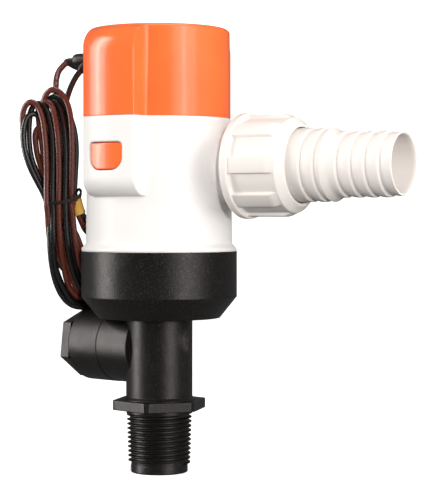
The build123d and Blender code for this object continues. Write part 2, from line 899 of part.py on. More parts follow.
with BuildPart() as shroud:
    with BuildSketch(Plane.XY.offset(shroud_bottom)):
        Circle(shroud_r)
    extrude(amount=housing_top - shroud_bottom)
    with BuildSketch(Plane.XY.offset(flange_bottom)):
        Circle(flange_r)
    extrude(amount=shroud_flange_thickness)
    with BuildSketch(Plane.XY.offset(seal_bottom)):
        Circle(seal_boss_r)
    extrude(amount=seal_boss_drop)
    with BuildSketch(level_plane(pad_angle, shroud_bottom)):
        with PolarLocations(flange_r / 2, fin_count):
            Rectangle(flange_r, fin_thickness)
    extrude(amount=fin_height)
    with BuildSketch(Plane.XY.offset(can_bottom)):
        Circle(shroud_bore_r)
    extrude(amount=housing_top - can_bottom, mode=Mode.SUBTRACT)
    with BuildSketch(Plane.XY.offset(seal_bottom)):
        Circle(shaft_hole_r)
    extrude(amount=can_bottom - seal_bottom, mode=Mode.SUBTRACT)
    with BuildSketch(Plane.XY.offset(seal_bottom)):
        Circle(seal_r)
    extrude(amount=seal_height, mode=Mode.SUBTRACT)
    with BuildSketch(Plane.XZ):
        with Locations((cartridge_ring_r, cartridge_ring_height)):
            groove = 2 * (ring_section_r + ring_gap)
            Rectangle(groove, groove)
    revolve(axis=Axis.Z, mode=Mode.SUBTRACT)
finish(shroud, "cartridge_shroud")

cartridge_ring = ring(
    Plane.XZ, cartridge_ring_r, cartridge_ring_height, ring_section_r, Axis.Z
)
finish(cartridge_ring, "cartridge_o_ring")

shaft_seal = tube(seal_r, shaft_r + running_gap, seal_bottom, seal_bottom + seal_height)
finish(shaft_seal, "shaft_seal")
seal_washer = tube(seal_boss_r, shaft_hole_r, seal_bottom - can_wall, seal_bottom)
finish(seal_washer, "seal_washer")

with BuildPart() as motor_can:
    with BuildSketch(Plane.XY.offset(can_bottom)):
        Circle(can_r)
    extrude(amount=can_top - can_bottom)
    with BuildSketch(Plane.XY.offset(lower_bush_bottom)):
        Circle(can_bore_r)
    extrude(amount=can_top - lower_bush_bottom, mode=Mode.SUBTRACT)
    with BuildSketch(Plane.XY.offset(lower_bush_bottom)):
        Circle(bearing_seat_r)
        Circle(bush_r, mode=Mode.SUBTRACT)
    extrude(amount=bush_length)
    with BuildSketch(Plane.XY.offset(can_bottom)):
        Circle(shaft_hole_r)
    extrude(amount=can_wall, mode=Mode.SUBTRACT)
finish(motor_can, "motor_can")

with BuildPart() as end_bell:
    spigot_r = can_bore_r - ring_gap
    with BuildSketch(Plane.XY.offset(can_top - can_wall)):
        Circle(spigot_r)
    extrude(amount=can_wall)
    with BuildSketch(Plane.XY.offset(can_top)):
        Circle(can_r)
    extrude(amount=end_bell_height - bush_length)
    with BuildSketch(Plane.XY.offset(can_top)):
        Circle(bearing_seat_r)
    extrude(amount=end_bell_height)
    with BuildSketch(Plane.XY.offset(can_top - can_wall)):
        Circle(bush_r)
    extrude(amount=bush_length + can_wall, mode=Mode.SUBTRACT)
finish(end_bell, "motor_end_bell")
upper_bush_bottom = can_top

bush_bore_r = shaft_r + running_gap
lower_bush = tube(bush_r, bush_bore_r, lower_bush_bottom, lower_bush_bottom + bush_length)
finish(lower_bush, "lower_bush")
upper_bush = tube(bush_r, bush_bore_r, upper_bush_bottom, upper_bush_bottom + bush_length)
finish(upper_bush, "upper_bush")

for node, turn in (("left", 180), ("right", 0)):
    with BuildPart() as magnet:
        with BuildSketch(level_plane(outlet_angle + turn, magnet_bottom)):
            with BuildLine():
                sweep_angle = 2 * magnet_half_angle
                outer = CenterArc((0, 0), can_bore_r, -magnet_half_angle, sweep_angle)
                inner = CenterArc((0, 0), magnet_inner_r, -magnet_half_angle, sweep_angle)
                Line(outer @ 0, inner @ 0)
                Line(outer @ 1, inner @ 1)
            make_face()
        extrude(amount=magnet_top - magnet_bottom)
    finish(magnet, f"magnet_{node}")

brush_start = commutator_r + brush_gap
brush_middle = (commutator_bottom + commutator_top) / 2
holder_length = brush_length + holder_spare
with BuildPart() as holders:
    for turn in (0, 180):
        at = facing_plane(pad_angle + turn, brush_start + holder_wall, brush_middle)
        with BuildSketch(at):
            gap = 2 * (brush_gap + holder_wall)
            Rectangle(brush_width + gap, brush_height + gap)
        extrude(amount=holder_length)
        with BuildSketch(at):
            Rectangle(brush_width + 2 * brush_gap, brush_height + 2 * brush_gap)
        extrude(amount=holder_length - holder_wall, mode=Mode.SUBTRACT)
finish(holders, "brush_holders")

with BuildPart() as brushes:
    for turn in (0, 180):
        with BuildSketch(facing_plane(pad_angle + turn, brush_start, brush_middle)):
            Rectangle(brush_width, brush_height)
        extrude(amount=brush_length)
finish(brushes, "brushes")

brush_spring_length = holder_length - brush_length - 4 * brush_gap
with BuildPart() as brush_springs:
    for turn in (0, 180):
        seat = facing_plane(pad_angle + turn, brush_start + brush_length, brush_middle)
        start = seat.offset(spring_wire_r + brush_gap)
        wire = Helix(
            pitch=brush_spring_length / 3,
            height=brush_spring_length - 2 * spring_wire_r,
            radius=brush_height / 2 - 3 * spring_wire_r,
            center=start.origin,
            direction=start.z_dir,
        )
        with BuildSketch(Plane(origin=wire @ 0, z_dir=wire % 0)):
            Circle(spring_wire_r)
        sweep(path=wire, is_frenet=True)
finish(brush_springs, "brush_springs")

with BuildPart() as terminals:
    for turn in (0, 180):
        at = facing_plane(pad_angle + turn, can_r / 2, terminal_bottom + terminal_height / 2)
        with BuildSketch(at):
            Rectangle(brush_width, terminal_height)
        extrude(amount=holder_wall)
finish(terminals, "terminals")

# ================================================================ rotor
impeller_r = cup_inner_r - impeller_gap
impeller_bottom = chamber_floor + impeller_floor_gap
impeller_disc_bottom = impeller_bottom + blade_height
impeller_hub_top = impeller_disc_bottom + impeller_disc_thickness + impeller_hub_height
shaft_bottom = impeller_bottom + shaft_tip

with BuildPart() as shaft:
    with BuildSketch(Plane.XY.offset(shaft_bottom)):
        Circle(shaft_r)
    extrude(amount=shaft_top - shaft_bottom)
    chamfer(shaft.edges().filter_by(GeomType.CIRCLE), small_edge / 2)
finish(shaft, "motor_shaft")

slot_bottom_r = core_r - slot_depth - holder_wall
with BuildPart() as core:
    with BuildSketch(Plane.XY.offset(core_bottom)):
        Circle(core_r)
        Circle(shaft_r, mode=Mode.SUBTRACT)
        with PolarLocations(slot_bottom_r + slot_depth / 2, core_slots):
            Rectangle(slot_depth, slot_width, mode=Mode.SUBTRACT)
        with PolarLocations(core_r, core_slots):
            Rectangle(4 * holder_wall, slot_width / 3, mode=Mode.SUBTRACT)
    extrude(amount=core_top - core_bottom)
finish(core, "armature_core")

with BuildPart() as windings:
    for bottom in (core_bottom - end_turn_height, core_top):
        with BuildSketch(Plane.XY.offset(bottom)):
            Circle(slot_bottom_r + slot_depth)
            Circle(commutator_r, mode=Mode.SUBTRACT)
        extrude(amount=end_turn_height)
    with BuildSketch(Plane.XY.offset(core_bottom)):
        with PolarLocations(slot_bottom_r + slot_depth / 2, core_slots):
            Rectangle(slot_depth - 2 * brush_gap, slot_width - 2 * brush_gap)
    extrude(amount=core_top - core_bottom)
finish(windings, "windings")

with BuildPart() as commutator:
    with BuildSketch(Plane.XY.offset(commutator_bottom)):
        Circle(commutator_r)
        Circle(shaft_r, mode=Mode.SUBTRACT)
        with PolarLocations(commutator_r, core_slots, start_angle=180 / core_slots):
            Rectangle(2 * holder_wall, spring_wire_r, mode=Mode.SUBTRACT)
    extrude(amount=commutator_top - commutator_bottom)
finish(commutator, "commutator")

lower_washer_bottom = lower_bush_bottom + bush_length + slip_gap
upper_washer_top = can_top - can_wall / 2
with BuildPart() as washers:
    for bottom in (lower_washer_bottom, upper_washer_top - holder_wall):
        with BuildSketch(Plane.XY.offset(bottom)):
            Circle(bush_r - slip_gap)
            Circle(shaft_r, mode=Mode.SUBTRACT)
        extrude(amount=holder_wall)
finish(washers, "thrust_washers")

with BuildSketch() as blade:
    with BuildLine():
        tip = Vector(impeller_r - blade_thickness / 2, 0).rotate(Axis.Z, -blade_sweep)
        middle = Vector((impeller_r + blade_start_r) / 2, 0).rotate(Axis.Z, -blade_middle_sweep)
        ThreePointArc((blade_start_r, 0), middle, tip)
    trace(line_width=blade_thickness)

with BuildPart() as impeller:
    with BuildSketch(Plane.XY.offset(impeller_disc_bottom)):
        Circle(impeller_r)
    extrude(amount=impeller_disc_thickness)
    with BuildSketch(Plane.XY.offset(impeller_bottom)):
        with PolarLocations(0, impeller_blades):
            add(blade.sketch)
    extrude(amount=impeller_disc_bottom - impeller_bottom)
    with BuildSketch(Plane.XY.offset(impeller_bottom)):
        Circle(shaft_r + impeller_hub_wall)
    extrude(amount=impeller_hub_top - impeller_bottom)
    with BuildSketch(Plane.XY.offset(shaft_bottom)):
        Circle(shaft_r)
    extrude(amount=impeller_hub_top - shaft_bottom, mode=Mode.SUBTRACT)
    nose = impeller.edges().filter_by(GeomType.CIRCLE).group_by(Axis.Z)[0]
    fillet(nose, small_edge)
finish(impeller, "impeller")

# ================================================================ leads
along_hank = away(hank_angle, 1, 0)
behind_hank = away(hank_angle + 90, 1, 0)


def laid(along, behind, height):
    """A point given in the hank's own directions."""
    return along_hank * along + behind_hank * behind + Vector(0, 0, boot_height + height)


boot_root = cap_bore_r - 2 * boot_collar_thickness
brown_exit = laid(*brown_points[0])
black_exit = laid(*black_points[0])
brown_root = away(lead_angle, boot_reach - boot_r / 2, boot_height)
black_root = away(lead_angle, boot_reach - boot_r, boot_height - boot_r / 3)

with BuildPart() as boot:
    with BuildSketch(facing_plane(lead_angle, boot_root, boot_height)):
        Circle(boot_r)
    extrude(amount=boot_reach - boot_root)
    fillet(boot.edges().sort_by(Axis.X)[0], boot_r / 4)
    with BuildSketch(facing_plane(lead_angle, boot_root, boot_height)):
        Circle(boot_collar_r)
    extrude(amount=boot_collar_thickness)
    with BuildSketch(facing_plane(lead_angle, cap_bottom_r, boot_height)):
        Circle(boot_collar_r)
    extrude(amount=boot_collar_thickness)
    for root, exit_point in ((brown_root, brown_exit), (black_root, black_exit)):
        reach = exit_point - root
        slope = degrees(atan((sleeve_root_r - sleeve_tip_r) / reach.length))
        with BuildSketch(Plane(origin=root, z_dir=reach)):
            Circle(sleeve_root_r)
        extrude(amount=reach.length, taper=slope)
finish(boot, "lead_boot")


def lead_tube(points, node):
    """A tube of straight runs and the largest arcs that they have room for."""
    places = [laid(*point) for point in points]
    runs = [b - a for a, b in zip(places, places[1:])]
    radii = []
    for before, after in zip(runs, runs[1:]):
        turn = radians(before.get_angle(after))
        radii.append(0.45 * min(before.length, after.length) / tan(turn / 2))
    with BuildPart() as lead:
        with BuildLine() as route:
            FilletPolyline(*places, radius=radii)
        line = route.wires()[0]
        with BuildSketch(Plane(origin=line @ 0, z_dir=line % 0)):
            Circle(lead_d / 2)
        sweep(path=line)
    filled = lead.part.volume / (pi * (lead_d / 2) ** 2 * line.length)
    print(node, "length", round(line.length, 1), "radii", [round(r, 1) for r in radii])
    print(node, "volume over section times length", round(filled, 4))
    finish(lead, node)


lead_tube(brown_points, "lead_brown")
lead_tube(black_points, "lead_black")
lead_tube(brown_end_points, "lead_brown_end")
lead_tube(black_end_points, "lead_black_end")


def hank_plane(along, behind, height, turn):
    """Level plane at a point of the hank, turned about the vertical."""
    return Plane(
        origin=laid(along, behind, height), x_dir=away(hank_angle + turn, 1, 0), z_dir=(0, 0, 1)
    )


with BuildPart() as hank:
    for along, behind, height, half_width, half_depth, turn in hank_sections:
        with BuildSketch(hank_plane(along, behind, height, turn)):
            Ellipse(half_width, half_depth)
    loft()
finish(hank, "lead_hank")

tie_along, tie_behind, tie_middle, tie_half_width, tie_half_depth, tie_turn = hank_sections[4]
with BuildPart() as tie:
    band = hank_plane(tie_along, tie_behind, tie_middle - tie_width / 2, tie_turn)
    with BuildSketch(band):
        Ellipse(tie_half_width + tie_thickness, tie_half_depth + tie_thickness)
        Ellipse(tie_half_width, tie_half_depth, mode=Mode.SUBTRACT)
    extrude(amount=tie_width)
    with BuildSketch(band):
        with Locations((0, tie_half_depth + tie_thickness + tie_head / 4)):
            Rectangle(tie_head, tie_head / 2 + small_edge)
    extrude(amount=tie_width)
finish(tie, "hank_tie")

marker_top = (laid(*brown_end_points[0]) + laid(*black_end_points[0])) * 0.5
marker_away = laid(*brown_end_points[1]) - laid(*brown_end_points[0])
with BuildPart() as marker:
    with BuildSketch(Plane(origin=marker_top, z_dir=marker_away)):
        Circle(marker_r)
    extrude(amount=-marker_length)
finish(marker, "lead_marker")
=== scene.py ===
"""Dressed model of a twin-port cartridge pump for boats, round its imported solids.

+Z is up, the outlet runs along +X and the pump's axis is the Z axis. The outlet's turned
pieces, the tubes and the leads are given in millimetres, and everything else in metres. The
tubes and the leads are laid out in the hank's own directions: along it, behind it and up.
"""

import json
import logging
from dataclasses import dataclass, field
from enum import Enum
from math import cos, pi, radians, sin

import bpy
import numpy as np
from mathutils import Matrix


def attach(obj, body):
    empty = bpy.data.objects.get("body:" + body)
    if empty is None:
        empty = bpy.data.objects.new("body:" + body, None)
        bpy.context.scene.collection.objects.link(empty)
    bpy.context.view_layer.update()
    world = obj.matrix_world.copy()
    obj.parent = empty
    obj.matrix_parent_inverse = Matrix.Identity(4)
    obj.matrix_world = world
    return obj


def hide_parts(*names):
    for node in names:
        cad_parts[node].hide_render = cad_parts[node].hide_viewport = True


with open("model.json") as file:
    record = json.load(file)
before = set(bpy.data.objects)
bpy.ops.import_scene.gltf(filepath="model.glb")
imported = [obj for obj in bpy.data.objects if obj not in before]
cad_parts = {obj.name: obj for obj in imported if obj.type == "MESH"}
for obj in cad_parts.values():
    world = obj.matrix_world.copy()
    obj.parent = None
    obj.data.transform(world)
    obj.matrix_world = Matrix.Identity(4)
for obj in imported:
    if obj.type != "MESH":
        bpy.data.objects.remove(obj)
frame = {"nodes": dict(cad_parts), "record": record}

LOG = logging.getLogger("pump")
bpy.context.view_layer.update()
MM = 0.001
# The hank's directions are the pump's own, turned by this about the vertical.
HANK_TURN = radians(30.6)
# Height of the outlet's axis, in millimetres.
OUTLET_HEIGHT = 121.8

Socket = bpy.types.NodeSocket
Colour = tuple[float, float, float, float]
Point = tuple[float, float, float]


# ---------------------------------------------------------------- shared tools
def linear(red: int, green: int, blue: int) -> Colour:
    """Turn an sRGB colour of 0 to 255 into the linear colour that nodes read."""
    parts = np.array([red, green, blue]) / 255
    low = parts / 12.92
    high = ((parts + 0.055) / 1.055) ** 2.4
    return (*np.where(parts <= 0.04045, low, high).tolist(), 1.0)


def laid(points: list[Point] | np.ndarray) -> np.ndarray:
    """Move points from the hank's directions to the pump's.

    Args:
        points: rows of (along, behind, height) in millimetres.

    Returns:
        Rows of (x, y, z) in metres.
    """
    along, behind, height = np.asarray(points, float).T * MM
    x = along * cos(HANK_TURN) - behind * sin(HANK_TURN)
    y = along * sin(HANK_TURN) + behind * cos(HANK_TURN)
    return np.stack([x, y, height], axis=1)


def all_round(count: int) -> np.ndarray:
    """Return a number of angles spread evenly over one whole turn."""
    return np.linspace(0, 2 * pi, count, endpoint=False)


def shown(name: str, data: bpy.types.ID) -> bpy.types.Object:
    """Make an object of some data and put it in the scene."""
    thing = bpy.data.objects.new(name, data)
    bpy.context.scene.collection.objects.link(thing)
    return thing


class Graph:
    """The node tree of one material, with short calls to add and join nodes."""

    def __init__(self, name: str) -> None:
        """Start an empty material with its output node."""
        self.material = bpy.data.materials.new(name)
        self.material.use_nodes = True
        self.tree = self.material.node_tree
        self.tree.nodes.clear()
        self.output = self.add("ShaderNodeOutputMaterial")
        self.place = self.add("ShaderNodeTexCoord").outputs["Object"]

    def add(self, kind: str, **values: object) -> bpy.types.Node:
        """Add a node; a value sets the socket of that name, or else the node's own field."""
        node = self.tree.nodes.new(kind)
        for key, value in values.items():
            socket = node.inputs.get(key.replace("_", " "))
            if socket is None:
                setattr(node, key, value)
            else:
                self.feed(socket, value)
        return node

    def feed(self, socket: Socket, value: object) -> None:
        """Give an input socket its value, by a link where the value is an output socket."""
        if isinstance(value, Socket):
            self.tree.links.new(value, socket)
        else:
            socket.default_value = value

    def noise(self, scale: float, detail: float = 2, place: Socket | None = None) -> Socket:
        """Add three-dimensional noise and return its height socket."""
        place = place or self.place
        node = self.add("ShaderNodeTexNoise", Vector=place, Scale=scale, Detail=detail)
        return node.outputs["Fac"]

    def stretched(self, scale: Point) -> Socket:
        """Return the object's coordinates scaled along each axis."""
        return self.add("ShaderNodeMapping", Vector=self.place, Scale=scale).outputs["Vector"]

    def spread(self, value: Socket, low: float, high: float, a: float, b: float) -> Socket:
        """Map a value from low..high to a..b, held at both ends."""
        node = self.add(
            "ShaderNodeMapRange", Value=value, From_Min=low, From_Max=high, To_Min=a, To_Max=b
        )
        return node.outputs["Result"]

    def blend(self, share: Socket, first: Socket | Colour, second: Socket | Colour) -> Socket:
        """Mix two colours by a share between 0 and 1."""
        node = self.add("ShaderNodeMix", data_type="RGBA")
        for slot, value in ((0, share), (6, first), (7, second)):
            self.feed(node.inputs[slot], value)
        return node.outputs[2]

    def near(self, place: Point, reach: float) -> Socket:
        """Return a value of 1 at a place in the object that falls to 0 at a distance."""
        far = self.add("ShaderNodeVectorMath", operation="DISTANCE")
        for slot, value in enumerate((self.place, place)):
            self.feed(far.inputs[slot], value)
        return self.spread(far.outputs["Value"], 0.0, reach, 1, 0)

    def product(self, first: Socket, second: Socket) -> Socket:
        """Multiply two values."""
        node = self.add("ShaderNodeMath", operation="MULTIPLY")
        for slot, value in enumerate((first, second)):
            self.feed(node.inputs[slot], value)
        return node.outputs["Value"]

    def bump(self, height: Socket, strength: float, distance: float,
             under: Socket | None = None) -> Socket:
        """Add a bump over an optional one under it and return its normal socket."""
        node = self.add("ShaderNodeBump", Height=height, Strength=strength, Distance=distance)
        if under is not None:
            self.feed(node.inputs["Normal"], under)
        return node.outputs["Normal"]

    def shade(self, **values: object) -> None:
        """Finish with one principled shader whose sockets take the values of their names."""
        shader = self.add("ShaderNodeBsdfPrincipled", **values)
        self.feed(self.output.inputs["Surface"], shader.outputs[0])


# ---------------------------------------------------------------- finishes
WARM_GLOSS = (1.0, 0.93, 0.90, 1.0)
# Scales of the noises, in features per metre.
DRIFT, WAVES, CLOUDS, SCUFFED, WORN = 38, 120, 210, 1500, 1900


@dataclass(frozen=True)
class Moulded:
    """Moulded plastic or rubber: a slightly uneven colour, fine grain and rounded edges.

    The edge colour shows in worn specks all over, and thicker in the scuffs, each of which is
    a place on the piece and a reach.
    """

    name: str
    colour: Colour
    shade: Colour
    roughness: float
    grain: float
    grain_height: float
    edge: Colour | None = None
    coat: float = 0.0
    round_edge: float = 0.0
    scuffs: tuple[tuple[Point, float], ...] = ()

    def tone(self, g: Graph) -> Socket:
        """Return the colour: two tones that drift, and the edge colour's specks and scuffs."""
        drift = g.spread(g.noise(DRIFT, 3), 0.3, 0.7, 0, 1)
        colour = g.blend(drift, self.colour, self.shade)
        if self.edge is not None:
            worn = g.spread(g.noise(WORN), 0.56, 0.78, 0, 0.6)
            colour = g.blend(worn, colour, self.edge)
        for place, reach in self.scuffs:
            broken = g.spread(g.noise(SCUFFED, 3), 0.42, 0.6, 0, 1)
            colour = g.blend(g.product(g.near(place, reach), broken), colour, self.edge)
        return colour

    def surface(self, g: Graph) -> Socket:
        """Return the normal: fine grain on the slow waves of a moulded wall, edges rounded."""
        under = None
        if self.round_edge:
            under = g.add("ShaderNodeBevel", samples=8, Radius=self.round_edge).outputs["Normal"]
        wave = g.bump(g.noise(WAVES, 1), 0.12, 0.0006, under)
        return g.bump(g.noise(self.grain, 4), 0.6, self.grain_height, wave)

    def build(self) -> bpy.types.Material:
        """Make the material, whose gloss is cloudy."""
        g = Graph(self.name)
        rough = g.spread(g.noise(CLOUDS, 3), 0.3, 0.7, self.roughness * 0.9, self.roughness * 1.1)
        g.shade(
            Base_Color=self.tone(g), Roughness=rough, Normal=self.surface(g),
            Coat_Weight=self.coat, Coat_Roughness=0.12, Specular_Tint=WARM_GLOSS,
        )
        return g.material


@dataclass(frozen=True)
class Metal:
    """Drawn or turned metal with fine brushed lines."""

    name: str
    colour: Colour
    shade: Colour
    roughness: float

    def build(self) -> bpy.types.Material:
        """Make the material: brushed lines in height and gloss, tone from broad noise."""
        g = Graph(self.name)
        colour = g.blend(g.spread(g.noise(150, 3), 0.35, 0.65, 0, 1), self.colour, self.shade)
        lines = g.noise(2500, 2, g.stretched((1, 1, 0.05)))
        rough = g.spread(lines, 0.3, 0.7, self.roughness * 0.8, self.roughness * 1.2)
        normal = g.bump(lines, 0.3, 0.00002)
        g.shade(Base_Color=colour, Roughness=rough, Normal=normal, Metallic=1.0)
        return g.material


@dataclass(frozen=True)
class Insulation:
    """Vinyl wire insulation: smooth and glossy, with pale scuffs and soft dents."""

    name: str
    colour: Colour
    scuff: Colour
    roughness: float

    def build(self) -> bpy.types.Material:
        """Make the material: scuffs in patches of noise, and fine bumps over slow ones."""
        g = Graph(self.name)
        patches = g.spread(g.noise(260, 4), 0.55, 0.8, 0, 0.3)
        colour = g.blend(patches, self.colour, self.scuff)
        rough = g.spread(g.noise(700, 3), 0.3, 0.7, self.roughness * 0.85, self.roughness * 1.2)
        soft = g.bump(g.noise(330), 0.2, 0.0001)
        fine = g.bump(g.noise(4200), 0.25, 0.00003, soft)
        g.shade(Base_Color=colour, Roughness=rough, Normal=fine, Specular_IOR_Level=1.0)
        return g.material


class Tone(Enum):
    """The two leads' colours."""

    BROWN = "brown"
    BLACK = "black"


FINISHES = (
    Moulded(
        "black_plastic", linear(14, 13, 12), linear(10, 9, 9), 0.38, 2100, 0.0001,
        edge=linear(74, 68, 64), round_edge=0.0005,
        scuffs=(((0.0132, -0.0017, 0.0535), 0.0045), ((0.0134, -0.0005, 0.0500), 0.0025)),
    ),
    Moulded(
        "white_plastic", linear(238, 234, 230), linear(233, 229, 225), 0.42, 3400, 0.000006,
        round_edge=0.0014,
    ),
    Moulded(
        "white_turned", linear(236, 229, 223), linear(229, 221, 214), 0.42, 3400, 0.000006,
        round_edge=0.0002,
    ),
    Moulded(
        "orange_plastic", linear(254, 115, 54), linear(250, 106, 50), 0.24, 3000, 0.000004,
        coat=0.25, round_edge=0.0006,
    ),
    Moulded("inner_plastic", linear(98, 98, 101), linear(84, 84, 88), 0.45, 2600, 0.00002),
    Moulded("black_rubber", linear(46, 42, 42), linear(34, 32, 32), 0.36, 2200, 0.00004),
    Moulded("tie_plastic", linear(34, 32, 32), linear(26, 25, 25), 0.36, 2600, 0.00002),
    Moulded(
        "marker_sleeve", linear(232, 188, 96), linear(206, 158, 66), 0.34, 2400, 0.00002,
        edge=linear(238, 214, 150), coat=0.2,
    ),
    Moulded("carbon", linear(52, 52, 54), linear(40, 40, 42), 0.6, 1800, 0.00004),
    Metal("spring_steel", linear(196, 196, 198), linear(168, 168, 172), 0.3),
    Metal("zinc_steel", linear(178, 180, 184), linear(150, 152, 158), 0.42),
    Metal("bronze", linear(176, 134, 78), linear(150, 108, 60), 0.5),
    Metal("brass", linear(208, 172, 100), linear(184, 146, 78), 0.35),
    Metal("copper", linear(206, 124, 84), linear(176, 98, 62), 0.35),
    Metal("magnet", linear(92, 92, 94), linear(70, 70, 72), 0.6),
    Insulation("brown_lead", linear(92, 41, 29), linear(136, 80, 66), 0.25),
    Insulation("black_lead", linear(15, 13, 13), linear(48, 45, 44), 0.25),
)
MATERIALS = {finish.name: finish.build() for finish in FINISHES}


def dress_nodes() -> None:
    """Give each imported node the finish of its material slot."""
    for part in frame["record"]["subparts"]:
        node = frame["nodes"][part["node"]]
        node.data.materials.clear()
        node.data.materials.append(MATERIALS[part["material_slot"]])


# ---------------------------------------------------------------- turned pieces
def softened(corners: list[Point], steps: int) -> np.ndarray:
    """Round the corners of a closed outline.

    Args:
        corners: rows of (place along the axis, radius, how far the rounding reaches).
        steps: points laid on each rounded corner.

    Returns:
        Rows of (place, radius). Each corner becomes a quadratic curve that starts and ends
        its reach away along the two sides, held to under half of the shorter side.
    """
    rows = np.array(corners, float)
    here, reach = rows[:, :2], rows[:, 2:]
    before, after = np.roll(here, 1, 0) - here, np.roll(here, -1, 0) - here
    long_before = np.linalg.norm(before, axis=1, keepdims=True)
    long_after = np.linalg.norm(after, axis=1, keepdims=True)
    held = np.minimum(reach, 0.48 * np.minimum(long_before, long_after))
    first, last = here + before / long_before * held, here + after / long_after * held
    t = np.linspace(0, 1, steps)[None, :, None]
    curve = (1 - t) ** 2 * first[:, None] + 2 * t * (1 - t) * here[:, None] + t**2 * last[:, None]
    return curve.reshape(-1, 2)


def filled_in(outline: np.ndarray, longest: float) -> np.ndarray:
    """Add points to a closed outline so that no side is longer than a given length."""
    sides = np.roll(outline, -1, 0) - outline
    counts = np.maximum(1, np.ceil(np.linalg.norm(sides, axis=1) / longest)).astype(int)
    index = np.repeat(np.arange(len(outline)), counts)
    share = np.concatenate([np.arange(count) / count for count in counts])[:, None]
    return outline[index] + sides[index] * share


def skin(name: str, grid: np.ndarray, slot: str, body: str, *nodes: str,
         finish: str | None = None) -> bpy.types.Object:
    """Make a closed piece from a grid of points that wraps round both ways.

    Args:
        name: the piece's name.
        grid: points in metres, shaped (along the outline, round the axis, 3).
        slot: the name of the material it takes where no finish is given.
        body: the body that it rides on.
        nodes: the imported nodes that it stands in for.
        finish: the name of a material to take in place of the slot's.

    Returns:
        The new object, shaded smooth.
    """
    rows, columns = grid.shape[:2]
    index = np.arange(rows * columns).reshape(rows, columns)
    beside, below = np.roll(index, -1, 1), np.roll(index, -1, 0)
    faces = np.stack([index, beside, np.roll(below, -1, 1), below], -1).reshape(-1, 4)
    mesh = bpy.data.meshes.new(name)
    mesh.vertices.add(rows * columns)
    mesh.vertices.foreach_set("co", grid.reshape(-1).astype(np.float32))
    mesh.loops.add(faces.size)
    mesh.loops.foreach_set("vertex_index", faces.ravel().astype(np.int32))
    mesh.polygons.add(len(faces))
    mesh.polygons.foreach_set("loop_start", np.arange(0, faces.size, 4, dtype=np.int32))
    mesh.update(calc_edges=True)
    mesh.polygons.foreach_set("use_smooth", np.ones(len(faces), bool))
    mesh.materials.append(MATERIALS[finish or slot])
    piece = shown(name, mesh)
    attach(piece, body)
    if nodes:
        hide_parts(*nodes)
    LOG.info("%s: %d faces", name, len(faces))
    return piece


def along_outlet(place: np.ndarray, radius: np.ndarray, angle: np.ndarray) -> np.ndarray:
    """Points round the outlet's axis: angle 0 is up and a quarter turn on is the front."""
    across, height = -radius * np.sin(angle), OUTLET_HEIGHT + radius * np.cos(angle)
    return MM * np.stack([place + 0 * angle, across, height], -1)


def step_up(value: np.ndarray, start: float, end: float) -> np.ndarray:
    """Smooth rise from 0 to 1 between two values."""
    t = np.clip((value - start) / (end - start), 0, 1)
    return t * t * (3 - 2 * t)


@dataclass
class NeckRoot:
    """Wide fillet where the outlet's neck grows out of the housing's barrel.

    The barrel's radius goes from the first to the second of its pair between the two heights.
    The fillet's edges are sunk a little into both walls, and its underside goes deeper.
    """

    reach: float = 5.0
    neck: float = 13.0
    barrel: tuple[float, float] = (29.2, 28.7)
    heights: tuple[float, float] = (91.5, 141.0)
    sunk: float = 0.04
    depth: float = 0.8
    sides: int = 120
    steps: int = 13

    def barrel_face(self, radius: float, angle: np.ndarray) -> np.ndarray:
        """How far along the outlet's axis the barrel lies, at a radius and angle round it."""
        height = OUTLET_HEIGHT + radius * np.cos(angle)
        barrel = np.interp(height, self.heights, self.barrel)
        return np.sqrt(barrel**2 - (radius * np.sin(angle)) ** 2)

    def build(self) -> bpy.types.Object:
        """Sweep a quadratic curve round the neck, from the barrel's face to the neck's wall.

        Returns:
            A thin closed skin: the curve leads out, and three more points lead back inside
            the walls.
        """
        angle = all_round(self.sides)[None, :]
        wide = self.neck + self.reach
        far, corner = self.barrel_face(wide, angle), self.barrel_face(self.neck, angle)
        t = np.linspace(0, 1, self.steps)[:, None]
        weights = ((1 - t) ** 2, 2 * t * (1 - t), t**2)
        places = (far - self.sunk, corner, corner + self.reach)
        radii = (wide, self.neck, self.neck - self.sunk)
        place = sum(weight * value for weight, value in zip(weights, places))
        radius = sum(weight * value for weight, value in zip(weights, radii)) + 0 * angle
        back = (
            (corner + self.reach, self.neck - self.depth),
            (corner - self.depth, self.neck),
            (far - self.depth, wide),
        )
        place = np.concatenate([place, *(value for value, _ in back)])
        radius = np.concatenate([radius, *(value + 0 * angle for _, value in back)])
        return skin("neck_root", along_outlet(place, radius, angle), "white_plastic", "pump_body")


